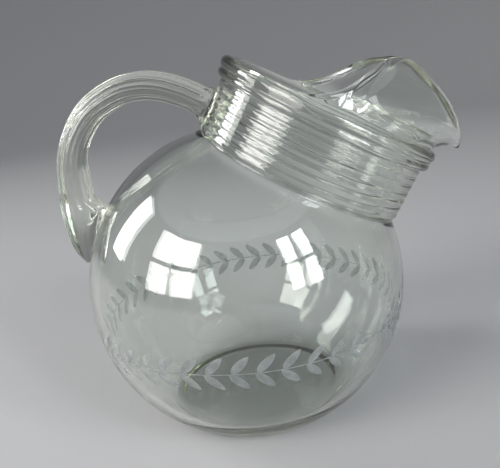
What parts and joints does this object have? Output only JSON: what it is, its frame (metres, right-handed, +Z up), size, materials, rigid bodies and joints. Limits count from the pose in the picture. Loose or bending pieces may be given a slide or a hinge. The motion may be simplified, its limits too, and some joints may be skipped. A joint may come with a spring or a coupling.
{
  "type": "glass ball pitcher",
  "caption": "Clear glass ball-shaped pitcher with a tilted ribbed neck, hooded pouring lip, reeded loop handle and flat foot.",
  "frame": {"origin": "centre of the flat resting face under the foot", "axes": "+Z up, +X towards the pouring lip with the handle on -X; the plane Y = 0 is the plane of symmetry"},
  "size_m": [0.2271, 0.18, 0.2],
  "materials": {
    "clear_glass": "polished clear glass with a faint green-grey tint",
    "handle_glass": "polished clear glass, reeded",
    "cut_glass": "frosted, wheel-cut leaf decoration"
  },
  "bodies": {
    "root": {"ball_body": "clear_glass", "foot_base": "clear_glass", "ribbed_collar": "clear_glass", "mouth_flange": "clear_glass", "pouring_lip": "clear_glass", "handle_strap": "handle_glass", "upper_handle_seal": "handle_glass", "lower_handle_seal": "handle_glass"}
  },
  "joints": []
}
